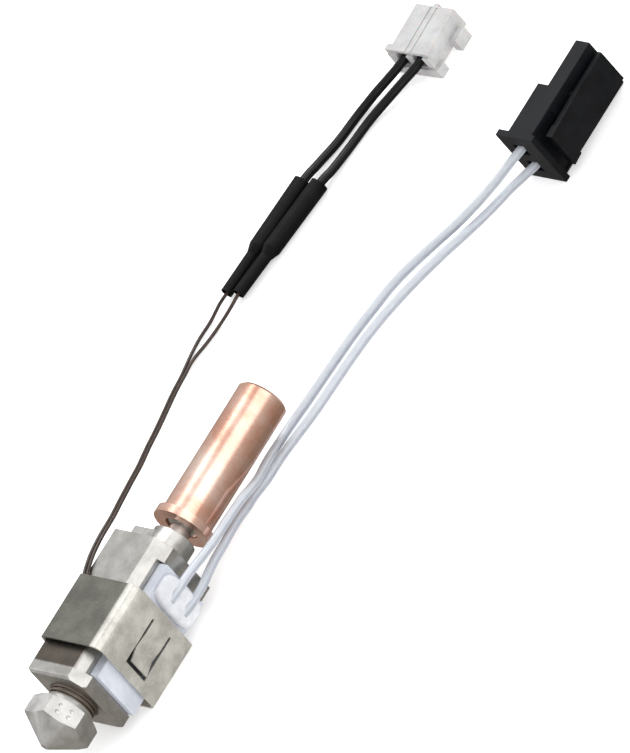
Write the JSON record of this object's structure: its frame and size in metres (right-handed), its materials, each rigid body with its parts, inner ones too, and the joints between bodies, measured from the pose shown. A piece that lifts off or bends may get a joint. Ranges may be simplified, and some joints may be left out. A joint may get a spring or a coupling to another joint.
{
  "type": "printer hotend with leads",
  "caption": "Compact 3-D printer hotend: metal block with nozzle, copper cold sleeve, clipped ceramic heater and bead thermistor, on leads that end in two small plugs.",
  "frame": {"origin": "on the filament axis, at the upper face of the cold sleeve's flange, where the sleeve seats in its heat sink", "axes": "+Y along the filament axis from the nozzle to the cold sleeve, +X to the ceramic heater's side, +Z to the clip's web, which is up as the part lies on a table"},
  "size_m": [0.0392, 0.1015, 0.0117],
  "materials": {
    "heater_block": "fine milled, nickel plated, satin",
    "nozzle": "turned and milled, plated, satin",
    "heat_break": "turned",
    "cold_sleeve": "copper, turned and polished",
    "spring_clip": "brushed spring steel",
    "ceramic_heater": "fired, matte",
    "heater_cement": "cast cement, matte",
    "heater_lead_1": "translucent sleeve, glossy",
    "heater_lead_2": "translucent sleeve, glossy",
    "power_plug": "moulded, matte",
    "power_latch": "moulded, matte",
    "power_terminal_1": "stamped, tin plated",
    "power_terminal_2": "stamped, tin plated",
    "thermistor": "glass bead",
    "sensor_leg_1": "thin sleeved wire",
    "sensor_leg_2": "thin sleeved wire",
    "splice_1": "crimped",
    "splice_2": "crimped",
    "shrink_sleeve_1": "shrunk tube, matte",
    "shrink_sleeve_2": "shrunk tube, matte",
    "sensor_wire_1": "insulated wire, semi gloss",
    "sensor_wire_2": "insulated wire, semi gloss",
    "sensor_plug": "moulded, milky, satin",
    "sensor_terminal_1": "stamped, tin plated",
    "sensor_terminal_2": "stamped, tin plated"
  },
  "bodies": {
    "block": {"heater_block": "heater_block", "ceramic_heater": "ceramic_heater", "heater_cement": "heater_cement", "heater_lead_1": "heater_lead_1", "heater_lead_2": "heater_lead_2", "power_plug": "power_plug", "power_terminal_1": "power_terminal_1", "power_terminal_2": "power_terminal_2", "thermistor": "thermistor", "sensor_leg_1": "sensor_leg_1", "sensor_leg_2": "sensor_leg_2", "splice_1": "splice_1", "splice_2": "splice_2", "shrink_sleeve_1": "shrink_sleeve_1", "shrink_sleeve_2": "shrink_sleeve_2", "sensor_wire_1": "sensor_wire_1", "sensor_wire_2": "sensor_wire_2", "sensor_plug": "sensor_plug", "sensor_terminal_1": "sensor_terminal_1", "sensor_terminal_2": "sensor_terminal_2"},
    "nozzle": {"nozzle": "nozzle"},
    "cold_end": {"heat_break": "heat_break", "cold_sleeve": "cold_sleeve"},
    "clip": {"spring_clip": "spring_clip"},
    "latch": {"power_latch": "power_latch"}
  },
  "joints": [
    {"name": "nozzle_unscrew", "type": "slide", "parent": "block", "child": "nozzle", "axis": [0, -1, 0], "range_m": [0, 0.0075]},
    {"name": "heat_break_unscrew", "type": "slide", "parent": "block", "child": "cold_end", "axis": [0, 1, 0], "range_m": [0, 0.0138]},
    {"name": "clip_slide", "type": "slide", "parent": "block", "child": "clip", "axis": [0, -1, 0], "range_m": [0, 0.02]},
    {"name": "latch_press", "type": "hinge", "parent": "block", "child": "latch", "pos_m": [0.0164, 0.0615, -0.00245], "axis": [0, 0, -1], "range_deg": [0, 4], "stiffness_Nm_per_rad": 0.08}
  ]
}
